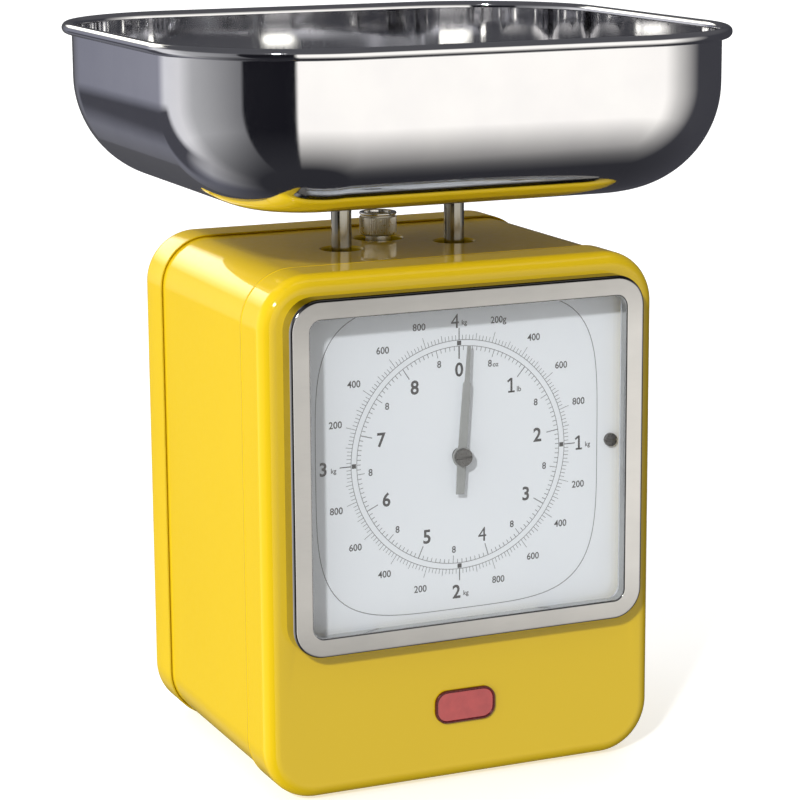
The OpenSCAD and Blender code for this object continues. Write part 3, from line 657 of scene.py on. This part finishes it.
def buildKnob(s):
    bm = bmesh.new()
    outer, low, high = s["radius"], s["low"], s["high"]
    dish = high - s["depth"]
    verts = bmesh.ops.create_circle(bm, segments=2 * s["teeth"], radius=s["bore"])["verts"]
    for v in verts:
        v.co.z = s["neckLow"]
    first = edges = edgesAt(verts)
    neck = [(s["neck"] - 0.3, s["neckLow"]), (s["neck"], s["neckLow"] + 0.3), (s["neck"], low)]
    below = [(outer - 1.0, low), (outer - 0.45, low + 0.35)]
    knurled = [(outer, low + 0.9), (outer, high - 2.0)]
    waist = [(outer - 0.5, high - 1.7), (outer - 0.5, high - 1.3), (outer - 0.1, high - 1.0)]
    rim = [(outer, high - 0.7), (outer, high - 0.4), (outer - 0.15, high - 0.1), (outer - 0.5, high)]
    top = [(s["recess"] + 0.35, high), (s["recess"], high - 0.3), (s["recess"] - 0.1, dish + 0.2),
           (s["recess"] - 0.5, dish), (s["bore"] + 0.3, dish), (s["bore"], dish - 0.3)]
    for radius, up in neck + below + knurled + waist + rim + top:
        edges, verts = grow(bm, edges)
        for v in verts:
            angle = atan2(v.co.y, v.co.x)
            tooth = round(angle / (pi / s["teeth"]))
            cut = s["groove"] if (radius, up) in knurled and tooth % 2 else 0
            v.co = (cos(angle) * (radius - cut), sin(angle) * (radius - cut), up)
    bmesh.ops.bridge_loops(bm, edges=first + edges)
    bmesh.ops.translate(bm, vec=(0, s["y"], 0), verts=bm.verts)
    obj = piece("zero_knob_nut", bm, [knurlMetal, brightSteel], "zero_adjuster",
                ["zero_knob"], sharp=28)
    secondFinish(obj, lambda f: f.center.z > (high - s["bright"]) / 1000)


buildKnob(knobSet)


# Main spring, drawn by turning a ring along a helix

springSet = {"y": 14.0, "coil": 8.0, "wire": 1.0, "low": 117.5, "high": 174.4, "turns": 8, "steps": 32,
             "segments": 14, "travel": 9.0}


def buildSpring(s):
    bm = bmesh.new()
    place = Matrix.Translation((s["coil"], s["y"], s["low"])) @ Matrix.Rotation(pi / 2, 4, "X")
    bmesh.ops.create_circle(bm, segments=s["segments"], radius=s["wire"], cap_ends=True, matrix=place)
    steps = s["turns"] * s["steps"]
    bmesh.ops.spin(bm, geom=list(bm.verts) + list(bm.edges) + list(bm.faces), cent=(0, s["y"], 0),
                   axis=(0, 0, 1), dvec=(0, 0, (s["high"] - s["low"]) / steps), angle=2 * pi * s["turns"],
                   steps=steps, use_merge=False)
    obj = piece("main_spring_coil", bm, [springSteel], "spring_seat", ["main_spring"],
                sharp=50)
    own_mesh(obj)


buildSpring(springSet)
print("knob and spring made")


# Other visible metal and rubber

eased("posts", "post_rods", [postSteel], "carrier", 0.35, 3)
eased("platform", "platform_plate", [zincSteel], "carrier", 0.3)
eased("platform_pads", "platform_pad_discs", [rubber], "carrier", 0.25)
eased("lens_gasket", "lens_seal", [sealGrey], "housing", 0.3)
eased("feet", "foot_pads", [rubber], "housing", 0.4, 3)
eased("rear_cover_screws", "rear_screw_heads", [brightSteel], "housing", 0.25, 3)

# The CAD nodes that stay take their finishes by their slots in the record
finishBySlot = {"yellow_paint": enamel, "polished_steel": mirrorSteel, "satin_steel": satinSteel,
                "bright_steel": brightSteel, "zinc_steel": zincSteel, "knurled_metal": knurlMetal,
                "rubber": rubber, "grey_seal": sealGrey, "clear_lens": lensClear, "badge_enamel": badgeRed,
                "dial_white": dialWhite, "pointer_grey": pointerGrey, "dark_cap": darkCap, "nylon": nylon,
                "brass": brass, "spring_steel": springSteel}
for part in frame["record"]["subparts"]:
    mesh = nodes[part["node"]].data
    mesh.materials.clear()
    mesh.materials.append(finishBySlot[part["material_slot"]])
print("CAD nodes finished")


# Floor, light and camera

floorSet = {"size": 9.0, "light": (0.76, 0.76, 0.76), "dark": (0.745, 0.745, 0.745), "rough": (0.75, 0.9),
            "patches": 3.0, "fine": 60.0, "glow": 0.5}


# The camera sees the floor, but the object is neither lit by it nor mirrors it
def buildFloor(s):
    bm = bmesh.new()
    bmesh.ops.create_grid(bm, x_segments=2, y_segments=2, size=s["size"])
    mesh = bpy.data.meshes.new("floor")
    bm.to_mesh(mesh)
    bm.free()
    glow = {"Emission Color": (1, 1, 1, 1), "Emission Strength": s["glow"]}
    mesh.materials.append(finish("floor", s["light"], s["dark"], s["rough"], patches=s["patches"],
                                 fine=s["fine"], sockets=glow))
    obj = addObject("floor", mesh)
    obj.visible_glossy = False
    obj.visible_diffuse = False
    obj.visible_shadow = False


# What gloss and polished metal mirror round the studio. Degrees run from the front to the left.
studioTones = [(-180, (0.10, 0.10, 0.11)), (-150, (0.06, 0.06, 0.07)), (-142, (0.05, 0.05, 0.06)),
               (-86, (0.06, 0.06, 0.07)), (-62, (0.74, 0.72, 0.69)), (-48, (1.28, 1.24, 1.18)),
               (26, (1.28, 1.24, 1.18)), (27.2, (0.010, 0.010, 0.014)), (67, (0.010, 0.010, 0.014)),
               (68.2, (0.21, 0.21, 0.22)), (90, (0.36, 0.36, 0.37)), (112, (0.50, 0.50, 0.51)),
               (128, (0.84, 0.83, 0.85)), (148, (0.80, 0.80, 0.84)), (157, (0.42, 0.42, 0.48)),
               (163, (0.25, 0.255, 0.31)), (180, (0.15, 0.15, 0.17))]
studioSet = {"lowDark": (-0.94, -0.44), "low": (0.03, 0.03, 0.036), "highDark": (0.14, 0.40),
             "high": (0.10, 0.10, 0.11), "boxesBehind": (0.2, 0.3)}
# A bright and a dark card behind the object, with the stretches over which each edge fades
studioBoxes = [{"X": ((-0.50, -0.34), (0.0, 0.10)), "Z": ((0.16, 0.32), (0.42, 0.52)),
                "tone": (4.0, 3.9, 3.5)},
               {"X": ((-0.62, -0.52), (-0.22, -0.12)), "Z": ((-0.70, -0.50), (-0.17, -0.11)),
                "tone": (0.07, 0.07, 0.085)}]
# The even fill, and what it gains from the left, from behind and from above: axis, gain and range
fillSet = {"even": 0.26, "gains": [("X", (1.42, 0.0), (-1.0, -0.45)), ("Y", (0.0, 1.35), (0.2, 0.9)),
                                   ("Z", (0.0, 0.2), (0.0, 1.0))]}


# Gloss and metal mirror the studio, the rest is lit by the fill, and the camera sees plain white
def buildWorld(t, fills):
    world = bpy.data.worlds.new("studio")
    world.use_nodes = True
    scene.world = world
    tree = world.node_tree
    coords = wire(tree, "ShaderNodeTexCoord")
    split = wire(tree, "ShaderNodeSeparateXYZ", {"Vector": coords.outputs["Generated"]}).outputs

    def sums(kind, first, second):
        return wire(tree, "ShaderNodeMath", {0: first, 1: second}, operation=kind).outputs[0]

    bearing = sums("ARCTAN2", sums("MULTIPLY", split["X"], -1.0), sums("MULTIPLY", split["Y"], -1.0))
    ramp = wire(tree, "ShaderNodeValToRGB", {"Fac": spread(tree, bearing, 0.0, 1.0, -pi, pi)})
    marks = ramp.color_ramp.elements
    while len(marks) > 1:
        marks.remove(marks[-1])
    for number, (degrees, tone) in enumerate(studioTones):
        mark = marks[0] if number == 0 else marks.new((degrees + 180) / 360)
        mark.position = (degrees + 180) / 360
        mark.color = (*tone, 1)
    above = spread(tree, split["Z"], 0.0, 1.0, *t["lowDark"])
    mirrored = mixed(tree, above, (*t["low"], 1), ramp.outputs["Color"])
    mirrored = mixed(tree, spread(tree, split["Z"], 0.0, 1.0, *t["highDark"]), mirrored, (*t["high"], 1))
    for card in studioBoxes:
        share = spread(tree, split["Y"], 0.0, 1.0, *t["boxesBehind"])
        for axis in ("X", "Z"):
            rise, fall = card[axis]
            share = sums("MULTIPLY", share, spread(tree, split[axis], 0.0, 1.0, *rise))
            share = sums("MULTIPLY", share, spread(tree, split[axis], 1.0, 0.0, *fall))
        mirrored = mixed(tree, share, mirrored, (*card["tone"], 1))
    fill = fills["even"]
    for axis, gain, reach in fills["gains"]:
        fill = sums("ADD", fill, spread(tree, split[axis], *gain, *reach))
    path = wire(tree, "ShaderNodeLightPath")
    seen = mixed(tree, path.outputs["Is Glossy Ray"], fill, mirrored)
    seen = mixed(tree, path.outputs["Is Camera Ray"], seen, (1, 1, 1, 1))
    back = tree.nodes["Background"]
    tree.links.new(seen, back.inputs["Color"])
    back.inputs["Strength"].default_value = 1.0


# Bearing from the front to the left, and height above the floor, in degrees
sunSet = {"strength": 1.8, "width": 4.0, "bearing": 41.0, "up": 30.0}


def buildSun(s):
    lamp = bpy.data.lights.new("key", "SUN")
    lamp.energy = s["strength"]
    lamp.angle = radians(s["width"])
    bearing, up = radians(s["bearing"]), radians(s["up"])
    source = Vector((-sin(bearing) * cos(up), -cos(bearing) * cos(up), sin(up)))
    obj = addObject("key", lamp)
    obj.rotation_euler = source.to_track_quat("Z", "Y").to_euler()
    obj.location = source


cameraSet = {"place": (-0.42456, -0.97734, 0.36370), "yaw": 23.676, "pitch": 11.935, "roll": 0.369,
             "lens": 123.42, "sensor": 36, "shift": (-0.0030, -0.0041), "farthest": 50}


def buildCamera(s):
    yaw, pitch, roll = (radians(s[k]) for k in ("yaw", "pitch", "roll"))
    ahead = Vector((sin(yaw) * cos(pitch), cos(yaw) * cos(pitch), -sin(pitch)))
    right = Vector((cos(yaw), -sin(yaw), 0))
    down = ahead.cross(right)
    across = cos(roll) * right + sin(roll) * down
    below = -sin(roll) * right + cos(roll) * down
    lens = bpy.data.cameras.new("camera")
    lens.lens = s["lens"]
    lens.sensor_width = s["sensor"]
    lens.shift_x, lens.shift_y = s["shift"]
    lens.clip_end = s["farthest"]
    obj = addObject("camera", lens)
    turn = Matrix((across, -below, -ahead)).transposed().to_4x4()
    obj.matrix_world = Matrix.Translation(s["place"]) @ turn
    scene.camera = obj


buildFloor(floorSet)
buildWorld(studioSet, fillSet)
buildSun(sunSet)
buildCamera(cameraSet)
scene.view_settings.view_transform = "Standard"
print("stage made")
